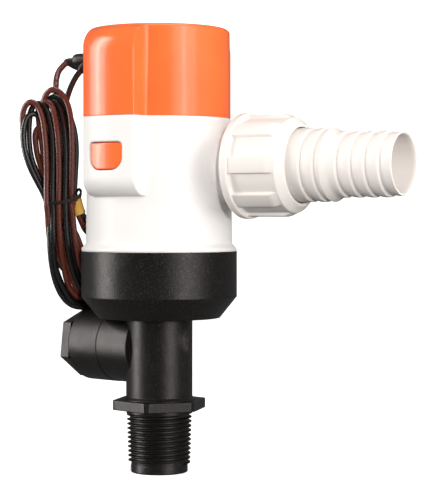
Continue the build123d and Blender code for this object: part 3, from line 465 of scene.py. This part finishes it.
@dataclass
class HoseBarb:
    """Outlet barb: a collar in the nut, two thick rings, a step and a thinner ringed end.

    The collar is (start, end, radius) and the step is (start, end) along the outlet. The
    moulding is out of round by a small share.
    """

    collar: Point = (57.25, 60.95, 15.8)
    thick: float = 14.1
    thin: float = 12.5
    thick_edges: tuple[float, ...] = (69.95, 75.75)
    thin_edges: tuple[float, ...] = (84.45, 90.25, 96.05, 101.85)
    step: tuple[float, float] = (78.6, 81.4)
    nose: float = 12.0
    tip: float = 107.05
    bore: float = 10.8
    depth: float = 1.15
    ramp: float = 2.7
    fall: float = 0.12
    out_of_round: float = 0.0012
    sides: int = 160

    def outline(self) -> np.ndarray:
        """Closed outline: each ring falls sharply at its edge and climbs back on a ramp."""
        start, end, wide = self.collar
        rows = [
            (start, self.bore, 0.2), (start, wide, 0.4),
            (end, wide, 0.4), (end, self.thick, 0.3),
        ]
        for edges, size in ((self.thick_edges, self.thick), (self.thin_edges, self.thin)):
            for edge in edges:
                after = self.nose if edge == self.thin_edges[-1] else size
                rows += [
                    (edge - self.fall, size, 0.45),
                    (edge + self.fall, size - self.depth, 0.3),
                    (edge + self.ramp, after - self.fall, 1.2),
                ]
            if size == self.thick:
                rows += [(self.step[0], self.thick, 0.7), (self.step[1], self.thin, 0.9)]
        rows += [
            (self.tip, self.nose, 1.1), (self.tip, self.bore + 0.35, 0.35),
            (self.tip - 1.3, self.bore, 0.5),
        ]
        return filled_in(softened(rows, 5), 1.2)

    def build(self) -> bpy.types.Object:
        """Carry the outline round the outlet's axis, a little out of round outside the bore."""
        outline = self.outline()
        angle = all_round(self.sides)[None, :]
        place, radius = outline[:, :1], outline[:, 1:]
        outside = radius > self.bore + 0.6
        wobble = 1 + self.out_of_round * np.sin(2 * angle + 0.7) * outside
        grid = along_outlet(place, radius * wobble, angle)
        return skin("outlet_barb_shell", grid, "white_plastic", "outlet_hose_barb", "outlet_barb",
                    finish="white_turned")


@dataclass
class UnionNut:
    """Nut with a thin flange, raised grips and a coned front.

    The flange is (end, radius). The recess is the radius between the grips, and half_turn is
    half of one grip's width, in degrees.
    """

    back: float = 39.4
    flange: tuple[float, float] = (42.6, 20.5)
    recess: float = 18.3
    grip: float = 19.65
    grip_end: float = 58.8
    body_end: float = 61.9
    front: float = 64.9
    mouth: float = 14.55
    lip: float = 3.4
    bore: float = 16.6
    grips: int = 8
    half_turn: float = 9.8
    sides_per_grip: int = 80

    def outline(self) -> np.ndarray:
        """Closed outline of the nut between two grips."""
        flange_end, flange_r = self.flange
        rows = [
            (self.back, self.bore, 0.2), (self.back, flange_r, 0.9), (flange_end, flange_r, 0.7),
            (flange_end + 0.2, self.recess + 0.05, 0.8), (self.body_end, self.recess, 0.35),
            (self.front, self.mouth + 0.9, 0.7), (self.front, self.mouth, 0.3),
            (self.front - self.lip, self.mouth, 0.2), (self.front - self.lip, self.bore, 0.2),
        ]
        return filled_in(softened(rows, 6), 0.55)

    def build(self) -> bpy.types.Object:
        """Carry the outline round; over the grips the radius rises to the grips' own profile.

        The rise follows the distance of the angle from the nearest grip's middle line, from
        full height at half the grip's width to nothing a little further on.
        """
        outline = self.outline()
        place, radius = outline[:, :1], outline[:, 1:]
        angle = all_round(self.grips * self.sides_per_grip)[None, :]
        pitch = 2 * pi / self.grips
        off = np.abs((angle + pitch / 2) % pitch - pitch / 2)
        half = radians(self.half_turn)
        rise = 1 - step_up(off, half - 0.010, half + 0.022)
        crown = self.grip - 0.05 * (off / half) ** 2
        end = self.body_end + 0.5
        places = (self.grip_end - 0.5, self.grip_end + 0.4, end)
        slope = np.interp(place, places, (0.0, 0.22, 1.75))
        target = np.where(place < end, crown - slope, 0)
        outside = (radius > self.recess - 0.9) & (place > self.flange[0] - 0.2)
        lifted = np.where(outside, np.maximum(radius, radius + rise * (target - radius)), radius)
        grid = along_outlet(place, lifted, angle)
        return skin("union_nut_shell", grid, "white_plastic", "outlet_nut", "union_nut",
                    finish="white_turned")


# ---------------------------------------------------------------- leads
# Steps from the last point of a fall, round the bottom of the hank to its far side.
ROUND_BELOW = ((2.9, 1.6, 0.0), (5.0, 4.2, 1.4), (4.8, 6.6, 5.4))
# The far side's first points, measured from the turn's lane and its bottom.
FAR_SIDE = ((-36.6, 20.8, 14.0), (-40.0, 17.8, 25.0))
# Its last point is this share of the way to a bow beyond the lane, from a drop under the
# first point that leads over the crest.
FAR_BOW, FAR_SHARE, FAR_DROP = (-40.0, 16.0), 0.4, 8.5


def moved(point: Point, step: Point) -> Point:
    """Return a point moved by a step."""
    return tuple(np.add(point, step).tolist())


@dataclass
class Turn:
    """One turn of a lead: up the far side, over the crest, and down the near side.

    All its points are (along, behind, up) in millimetres, in the hank's directions. Only the
    hidden far side is worked out: it bows out from the bottom in the same way on every turn.
    """

    lane: tuple[float, float]
    bottom: float
    over: list[Point]
    under: list[Point] = field(default_factory=list)

    def way(self, last: Point) -> list[Point]:
        """Return the turn's points, from the bottom of the far side round to the next bottom.

        Args:
            last: the point before, where the lead comes down to the bottom of the hank.
        """
        round_below = [moved(last, step) for step in ROUND_BELOW]
        rise = [moved((*self.lane, self.bottom), step) for step in FAR_SIDE]
        *place, height = self.over[0]
        level = FAR_SHARE * np.add(self.lane, FAR_BOW) + (1 - FAR_SHARE) * np.array(place)
        rise.append((*level.tolist(), height - FAR_DROP))
        return [*round_below, *rise, *self.over, *self.under]


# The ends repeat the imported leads: out of the boot, and off to the bare tips.
BROWN_START = [
    (-38.4, 22.0, 165.9), (-40.8, 21.0, 163.7), (-42.3, 19.1, 161.0), (-42.7, 16.2, 157.4),
]
BROWN_END = [(-25.2, 28.6, 91.0), (-19.6, 32.4, 88.2)]
BLACK_START = [
    (-32.3, 17.0, 162.2), (-34.3, 16.2, 159.7), (-36.0, 14.6, 156.1), (-37.2, 12.6, 152.6),
]
BLACK_END = [(-21.2, 30.2, 93.4), (-15.4, 33.2, 91.2)]
# In: down through the tie to the first bottom. Out: from the last crest to the marker.
BROWN_IN = [
    (-42.3, 12.6, 155.5), (-42.7, 12.0, 152.8), (-42.3, 12.6, 147.2), (-41.2, 13.0, 136.6),
    (-40.4, 13.1, 121.1), (-40.3, 13.0, 107.7), (-40.3, 14.2, 103.2), (-40.1, 15.0, 95.8),
    (-39.3, 16.2, 88.4), (-37.8, 17.2, 81.0), (-35.9, 18.6, 74.8), (-33.3, 20.0, 70.1),
    (-30.2, 21.4, 67.9),
]
BROWN_TURNS = [
    Turn(
        lane=(-1.8, 1.4), bottom=67.6,
        over=[
            (-45.4, 9.5, 107.7), (-46.8, 11.0, 113.8), (-50.0, 10.2, 120.2), (-52.8, 9.6, 126.7),
            (-54.7, 9.2, 132.8), (-55.5, 9.0, 138.0), (-55.7, 8.6, 142.9), (-54.6, 8.0, 146.6),
            (-52.8, 7.4, 148.4), (-50.4, 6.8, 148.2), (-48.4, 6.3, 145.4), (-47.0, 6.0, 141.1),
            (-45.9, 6.2, 130.6), (-45.7, 6.8, 120.2), (-45.9, 7.6, 112.9), (-45.8, 7.0, 107.6),
        ],
        under=[
            (-45.4, 8.6, 103.2), (-45.3, 10.4, 96.7), (-44.6, 13.6, 89.3), (-43.6, 15.8, 81.9),
            (-41.7, 17.2, 75.5), (-39.1, 18.4, 70.7), (-35.6, 20.0, 67.8), (-31.8, 21.6, 66.9),
        ],
    ),
    Turn(
        lane=(-3.6, -1.2), bottom=66.4,
        over=[
            (-44.7, 11.8, 107.7), (-45.3, 11.6, 113.8), (-46.8, 11.0, 122.7), (-48.1, 10.4, 133.2),
            (-49.2, 10.2, 140.5), (-49.4, 9.6, 145.9), (-47.7, 8.8, 148.5), (-45.2, 7.8, 148.7),
            (-43.2, 6.9, 146.7), (-42.1, 6.3, 141.5), (-41.1, 6.2, 134.7), (-40.7, 6.8, 125.8),
            (-40.9, 8.0, 112.9), (-41.1, 8.0, 107.6),
        ],
        under=[
            (-41.1, 9.6, 103.2), (-41.0, 11.0, 95.9), (-40.5, 12.6, 88.5), (-39.5, 14.2, 81.7),
            (-38.5, 15.6, 75.8), (-36.8, 17.0, 71.6), (-33.8, 18.6, 68.7), (-30.3, 20.4, 68.3),
        ],
    ),
    Turn(
        lane=(1.2, 1.2), bottom=68.8,
        over=[
            (-43.1, 12.4, 107.7), (-45.9, 13.4, 113.8), (-47.6, 12.2, 119.9), (-49.7, 11.2, 126.0),
            (-50.5, 10.4, 131.6), (-50.7, 10.1, 136.1), (-49.2, 9.9, 138.5), (-46.8, 9.9, 139.1),
            (-44.7, 10.0, 137.1), (-43.7, 10.4, 131.2), (-40.8, 11.4, 121.1), (-38.0, 12.4, 112.1),
            (-36.5, 11.5, 107.7),
        ],
        under=[
            (-35.6, 10.8, 104.0), (-35.2, 12.2, 97.5), (-34.4, 13.8, 90.1), (-33.3, 15.4, 83.5),
            (-31.7, 17.4, 77.3), (-29.6, 19.4, 72.7),
        ],
    ),
    Turn(
        lane=(5.0, -1.0), bottom=71.5,
        over=[
            (-40.7, 10.5, 107.7), (-42.6, 13.4, 113.8), (-44.9, 12.4, 122.7), (-46.9, 11.4, 134.1),
            (-47.6, 10.2, 144.6), (-46.9, 9.0, 150.0), (-45.2, 8.2, 152.7), (-42.8, 7.6, 153.7),
            (-40.2, 7.2, 152.4), (-37.9, 6.9, 149.5), (-36.2, 6.6, 144.8), (-35.5, 6.6, 137.9),
            (-35.3, 7.0, 128.2), (-35.7, 8.4, 117.0), (-35.9, 9.4, 111.3),
        ],
    ),
]
BROWN_OUT = [
    (-35.9, 11.0, 109.3), (-35.4, 12.8, 107.7), (-34.7, 13.8, 105.6), (-33.6, 15.0, 103.0),
    (-32.3, 17.4, 99.5), (-30.9, 20.6, 95.8),
]
BLACK_IN = [
    (-38.3, 11.2, 148.3), (-38.4, 11.6, 142.2), (-37.7, 11.6, 132.5), (-37.1, 11.8, 121.1),
    (-37.3, 11.3, 107.7), (-37.1, 12.6, 103.2), (-36.8, 13.8, 95.8), (-36.1, 15.2, 88.5),
    (-34.9, 16.8, 81.5), (-33.2, 18.6, 75.6), (-30.7, 20.4, 71.9),
]
BLACK_TURNS = [
    Turn(
        lane=(3.6, 1.2), bottom=70.6,
        over=[
            (-45.7, 9.2, 107.6), (-47.4, 9.0, 112.1), (-49.8, 7.6, 116.7), (-52.3, 6.8, 121.8),
            (-54.1, 6.3, 127.2), (-55.1, 6.2, 132.7), (-55.0, 6.6, 137.9), (-53.8, 7.6, 142.3),
            (-51.3, 8.8, 144.1), (-48.8, 9.4, 142.8), (-46.9, 9.6, 138.9), (-45.3, 9.4, 130.8),
            (-44.7, 10.0, 118.6), (-44.5, 9.7, 107.7),
        ],
        under=[
            (-44.6, 10.2, 104.0), (-44.8, 9.6, 97.5), (-44.8, 10.6, 90.2), (-44.4, 12.2, 83.6),
            (-43.5, 14.0, 77.5), (-41.8, 15.8, 72.0), (-39.3, 17.4, 67.8), (-36.2, 19.2, 65.3),
            (-31.8, 21.0, 64.6),
        ],
    ),
    Turn(
        lane=(-5.0, 1.4), bottom=66.2,
        over=[
            (-43.3, 9.9, 107.7), (-46.0, 10.8, 112.1), (-48.6, 10.0, 117.0), (-51.3, 9.4, 122.7),
            (-52.8, 8.8, 129.1), (-53.1, 8.6, 135.6), (-52.8, 8.8, 141.7), (-52.1, 9.1, 145.7),
            (-50.1, 8.9, 147.8), (-47.5, 8.3, 147.9), (-45.6, 7.7, 145.3), (-44.7, 7.2, 142.4),
            (-43.4, 6.8, 136.3), (-43.1, 7.0, 127.0), (-43.5, 7.8, 113.7), (-43.5, 7.5, 107.6),
        ],
        under=[
            (-43.4, 8.8, 103.2), (-43.5, 9.8, 95.9), (-43.4, 11.2, 88.5), (-42.9, 12.8, 82.0),
            (-41.2, 14.2, 76.2), (-39.0, 15.6, 71.7), (-36.8, 17.2, 67.7), (-33.3, 19.2, 65.9),
        ],
    ),
    Turn(
        lane=(-1.0, -1.2), bottom=67.8,
        over=[
            (-41.9, 10.3, 107.7), (-42.0, 11.0, 112.1), (-44.4, 10.6, 119.4), (-46.6, 10.2, 128.4),
            (-47.5, 9.8, 138.1), (-47.1, 9.6, 145.1), (-45.8, 9.4, 147.7), (-43.6, 9.1, 148.9),
            (-41.4, 8.6, 147.7), (-39.9, 8.0, 144.6), (-38.7, 7.4, 139.2), (-38.0, 7.4, 129.9),
            (-38.2, 8.2, 118.6), (-38.5, 8.8, 111.7), (-38.5, 8.6, 107.6),
        ],
        under=[
            (-38.4, 10.0, 104.0), (-38.2, 11.0, 96.7), (-37.7, 12.6, 89.3), (-36.6, 14.2, 82.8),
            (-35.1, 15.8, 77.2), (-33.1, 17.6, 72.6), (-30.4, 19.4, 70.3),
        ],
    ),
    Turn(
        lane=(1.8, -1.2), bottom=70.0,
        over=[
            (-39.1, 13.8, 107.7), (-40.2, 13.6, 112.2), (-43.0, 13.0, 121.9), (-45.5, 12.4, 133.3),
            (-46.6, 11.5, 143.0), (-45.8, 10.9, 148.5), (-43.9, 10.5, 150.8), (-41.3, 10.3, 150.5),
            (-38.5, 10.0, 147.0), (-35.9, 9.6, 141.5), (-34.3, 9.2, 135.6), (-33.8, 9.2, 128.3),
            (-34.4, 9.8, 119.4), (-34.8, 10.5, 112.9),
        ],
    ),
]
BLACK_OUT = [
    (-34.7, 12.6, 109.7), (-34.1, 14.0, 107.7), (-33.4, 14.6, 105.6), (-32.1, 15.4, 103.3),
    (-30.7, 18.0, 100.9), (-29.3, 21.6, 98.2),
]


@dataclass
class Lead:
    """One insulated lead: out of the boot, round the hank and off to its bare end.

    Its length is in metres and is not used; its diameter and points are in millimetres.
    """

    tone: Tone
    start: list[Point]
    turns: list[Turn]
    end: list[Point]
    length: float
    diameter: float = 2.4

    def way(self) -> np.ndarray:
        """Return the lead's control points in metres, turn after turn."""
        way = list(self.start)
        for turn in self.turns:
            way += turn.way(way[-1])
        return laid(way + self.end)

    def build(self) -> bpy.types.Object:
        points = self.way()
        slot = f"{self.tone.value}_lead"
        name = f"lead_{self.tone.value}_whole"
        curve = bpy.data.curves.new(name, "CURVE")
        curve.dimensions = "3D"
        curve.resolution_u = 6
        curve.bevel_depth = self.diameter / 2 * MM
        curve.bevel_resolution = 4
        curve.use_fill_caps = True
        spline = curve.splines.new("NURBS")
        spline.points.add(len(points) - 1)
        spline.points.foreach_set("co", np.c_[points, np.ones(len(points))].ravel())
        spline.order_u = 3
        spline.use_endpoint_u = True
        curve.materials.append(MATERIALS[slot])
        lead = shown(name, curve)
        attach(lead, "cartridge")
        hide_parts(f"lead_{self.tone.value}", f"lead_{self.tone.value}_end", "lead_hank")
        LOG.info("lead %s: %d control points", self.tone.value, len(points))
        return lead


LEADS = (
    Lead(Tone.BROWN, BROWN_START + BROWN_IN, BROWN_TURNS, BROWN_OUT + BROWN_END, 0.82),
    Lead(Tone.BLACK, BLACK_START + BLACK_IN, BLACK_TURNS, BLACK_OUT + BLACK_END, 0.82),
)


# ---------------------------------------------------------------- boot, tie and marker
@dataclass
class Tube:
    """Closed tube of changing radius along a path, riding on the cartridge.

    The path's rows are (along, behind, up) in millimetres, in the hank's directions, with a
    radius for each. The squash is the section's width across the path's level side, over its
    height. A closed path runs back into its own start.
    """

    name: str
    slot: str
    way: list[Point]
    radii: list[float]
    node: str
    squash: float = 1.0
    closed: bool = False
    steps: int = 6
    sides: int = 24

    def middle_line(self) -> np.ndarray:
        """Return rows of (along, behind, up, radius) on a smooth B-spline of the path's rows."""
        rows = np.c_[np.array(self.way, float), np.array(self.radii, float)]
        if self.closed:
            before, after = rows[-1:], rows[:1]
        else:
            before, after = 2 * rows[:1] - rows[1:2], 2 * rows[-1:] - rows[-2:-1]
        padded = np.concatenate([before, rows, after])
        t = np.linspace(0, 1, self.steps, endpoint=False)[None, :, None]
        a, b, c = padded[:-2, None], padded[1:-1, None], padded[2:, None]
        curve = 0.5 * (1 - t) ** 2 * a + (0.5 + t * (1 - t)) * b + 0.5 * t**2 * c
        return curve.reshape(-1, 4)

    def build(self) -> bpy.types.Object:
        """Stand rings across the path; an open path's ends draw in to a point."""
        line = self.middle_line()
        middle, radius = line[:, :3], line[:, 3:]
        if self.closed:
            ahead = np.roll(middle, -1, 0) - np.roll(middle, 1, 0)
        else:
            ahead = np.gradient(middle, axis=0)
        ahead /= np.linalg.norm(ahead, axis=1, keepdims=True)
        side = np.cross(ahead, [0.0, 0.05, 1.0])
        side /= np.linalg.norm(side, axis=1, keepdims=True)
        over = np.cross(side, ahead)
        turn = all_round(self.sides)[None, :, None]
        ring = side[:, None] * np.cos(turn) * self.squash + over[:, None] * np.sin(turn)
        grid = middle[:, None] + radius[:, None] * ring
        if not self.closed:
            first, last = np.repeat(middle[[0, -1], None], self.sides, 1)
            grid = np.concatenate([first[None], grid, last[None]])
        points = laid(grid.reshape(-1, 3)).reshape(grid.shape)
        return skin(self.name, points, self.slot, "cartridge", self.node)


# The boot's stub points away from the outlet: how far it reaches, and how wide it is there.
STUB_AWAY = (-0.861, 0.489)
STUB_HEIGHT = 166.2
STUB_REACH = (26.4, 27.4, 28.6, 29.3, 31.0, 33.5, 36.0, 38.4, 40.0, 40.9, 41.2, 41.3)
STUB_RADII = [2.9, 3.0, 3.7, 3.1, 2.7, 2.6, 2.75, 2.8, 2.7, 2.4, 1.6, 0.3]
BAND = [
    (-46.9, 9.0, 107.7), (-45.0, 6.6, 107.6), (-42.2, 6.2, 107.6), (-39.4, 6.6, 107.9),
    (-36.6, 7.3, 108.6), (-34.0, 8.6, 109.6), (-32.4, 11.0, 110.6), (-32.4, 14.0, 110.6),
    (-34.4, 17.0, 110.0), (-38.4, 17.6, 109.2), (-42.6, 16.6, 108.4), (-45.8, 13.4, 107.9),
]
TUBES = (
    Tube(
        "boot_stub", "black_rubber",
        [(STUB_AWAY[0] * reach, STUB_AWAY[1] * reach, STUB_HEIGHT) for reach in STUB_REACH],
        STUB_RADII, "lead_boot",
    ),
    Tube(
        "boot_brown_sleeve", "black_rubber",
        [
            (-27.5, 19.5, 164.4), (-30.5, 21.4, 164.6), (-33.2, 22.6, 164.8), (-35.6, 22.8, 165.2),
            (-37.4, 22.4, 165.7), (-38.8, 21.9, 165.7), (-39.2, 21.7, 165.5),
        ],
        [3.2, 3.2, 2.9, 2.35, 1.85, 1.5, 1.25], "lead_boot",
    ),
    Tube(
        "boot_black_sleeve", "black_rubber",
        [
            (-28.0, 17.6, 166.0), (-30.0, 17.4, 164.6), (-31.4, 17.2, 163.4), (-32.6, 16.9, 161.9),
            (-33.0, 16.8, 161.4),
        ],
        [2.6, 2.5, 2.1, 1.65, 1.35], "lead_boot",
    ),
    Tube("tie_band", "tie_plastic", BAND, [0.66] * len(BAND), "hank_tie", squash=0.6, closed=True),
    Tube(
        "tie_tail", "tie_plastic",
        [
            (-34.4, 8.2, 109.5), (-33.0, 8.8, 110.2), (-32.0, 9.4, 111.4), (-32.1, 9.6, 112.8),
            (-33.0, 9.8, 113.4), (-33.5, 10.4, 112.6),
        ],
        [0.62, 0.62, 0.6, 0.58, 0.55, 0.5], "hank_tie", squash=0.7,
    ),
    Tube(
        "marker_tube", "marker_sleeve",
        [
            (-34.6, 14.6, 109.4), (-34.3, 14.6, 108.0), (-33.8, 14.6, 106.2), (-33.3, 14.7, 104.4),
            (-32.9, 14.8, 103.4),
        ],
        [2.35, 2.4, 2.4, 2.42, 2.45], "lead_marker",
    ),
)


# ---------------------------------------------------------------- studio
PUMP_MIDDLE = (0.0, 0.0, 0.1)


@dataclass(frozen=True)
class Lamp:
    """Soft rectangular lamp that faces the middle of the pump.

    Its bearing is from the outlet, in degrees. One that is not glossy shows in no reflection.
    """

    name: str
    bearing: float
    reach: float
    height: float
    size: tuple[float, float]
    power: float
    glossy: bool = True

    def build(self) -> None:
        """Place the lamp and turn its beam, which is its own -Z, to the pump, kept upright."""
        lamp = bpy.data.lights.new(self.name, "AREA")
        lamp.shape = "RECTANGLE"
        lamp.size, lamp.size_y = self.size
        lamp.energy = self.power
        holder = shown(self.name, lamp)
        holder.visible_glossy = self.glossy
        bearing = radians(self.bearing)
        place = (self.reach * cos(bearing), self.reach * sin(bearing), self.height)
        x, y, z = np.subtract(PUMP_MIDDLE, place)
        holder.location = place
        tilt, turn = np.arctan2(np.hypot(x, y), -z), np.arctan2(-x, y)
        holder.rotation_euler = (float(tilt), 0.0, float(turn))


LAMPS = (
    Lamp("strip_left", -143.0, 1.8, 0.5, (0.80, 2.0), 27.0),
    Lamp("core_left", -143.0, 1.75, 0.5, (0.12, 1.9), 8.0),
    Lamp("box_right", -16.0, 1.8, 0.5, (1.30, 2.0), 15.5),
    Lamp("core_right", -17.5, 1.75, 0.5, (0.12, 1.9), 5.0),
    Lamp("front", -52.0, 1.8, 0.30, (0.07, 0.07), 20.0, glossy=False),
    Lamp("wrap_right", 12.0, 1.9, 0.5, (1.4, 2.0), 20.0, glossy=False),
    Lamp("top", 40.0, 0.2, 1.6, (1.0, 1.0), 7.0),
)


@dataclass
class Sheet:
    """Pale sheet under and behind the pump, which shows in no reflection.

    It starts in front of the pump, is level for its reach and then bends upright.
    """

    start: float = -1.6
    reach: float = 1.0
    bend: float = 0.5
    tall: float = 1.6
    half_width: float = 2.4
    glow: float = 0.62

    def mesh(self) -> bpy.types.Mesh:
        """Make the profile, which curves up into a backdrop, and carry it sideways."""
        angle = np.linspace(0, pi / 2, 24)
        run = np.concatenate(
            [[self.start], self.reach + self.bend * np.sin(angle), [self.reach + self.bend]]
        )
        rise = np.concatenate([[0.0], self.bend * (1 - np.cos(angle)), [self.tall]])
        across, away = np.meshgrid([-self.half_width, self.half_width], run)
        x = across * cos(HANK_TURN) - away * sin(HANK_TURN)
        y = across * sin(HANK_TURN) + away * cos(HANK_TURN)
        z = np.repeat(rise[:, None], 2, axis=1)
        faces = np.arange(len(run) - 1)[:, None] * 2 + np.array([0, 1, 3, 2])
        mesh = bpy.data.meshes.new("studio_sheet")
        mesh.from_pydata(np.stack([x, y, z], -1).reshape(-1, 3).tolist(), [], faces.tolist())
        return mesh

    def build(self) -> None:
        """Make the sheet with its faint mottling and its own glow."""
        sheet = shown("studio_sheet", self.mesh())
        g = Graph("studio_sheet")
        tone = g.blend(g.noise(3), linear(250, 250, 250), linear(247, 247, 247))
        g.shade(
            Base_Color=tone, Roughness=0.9, Normal=g.bump(g.noise(60), 0.02, 0.001),
            Emission_Color=(1, 1, 1, 1), Emission_Strength=self.glow,
        )
        sheet.data.materials.append(g.material)
        sheet.visible_glossy = False
        sheet.visible_diffuse = False


@dataclass
class Camera:
    """Long lens in front of the pump, looking slightly down across the hank."""

    lens: float = 122.4
    sensor: float = 36.0
    spot: Point = (0.3669, -0.5730, 0.104)
    pitch: float = 1.28

    def build(self) -> None:
        """Place the camera."""
        data = bpy.data.cameras.new("camera")
        data.lens = self.lens
        data.sensor_width = self.sensor
        data.clip_start = 0.01
        camera = shown("camera", data)
        camera.location = self.spot
        camera.rotation_euler = (radians(90 - self.pitch), 0, HANK_TURN)
        bpy.context.scene.camera = camera


@dataclass
class Surroundings:
    """Weak even light from all sides."""

    strength: float = 0.15

    def build(self) -> None:
        """Make the world that gives the light."""
        world = bpy.data.worlds.new("studio")
        bpy.context.scene.world = world
        world.use_nodes = True
        back = world.node_tree.nodes["Background"]
        back.inputs["Color"].default_value = (1, 1, 1, 1)
        back.inputs["Strength"].default_value = self.strength


def main() -> None:
    """Build the studio, dress the imported nodes and then make every piece."""
    logging.basicConfig(level=logging.INFO, format="%(name)s: %(message)s")
    for fitting in (Sheet(), *LAMPS, Surroundings(), Camera()):
        fitting.build()
    bpy.context.scene.view_settings.view_transform = "Standard"
    dress_nodes()
    for piece in (HoseBarb(), UnionNut(), NeckRoot(), *TUBES, *LEADS):
        piece.build()


if __name__ == "__main__":
    main()
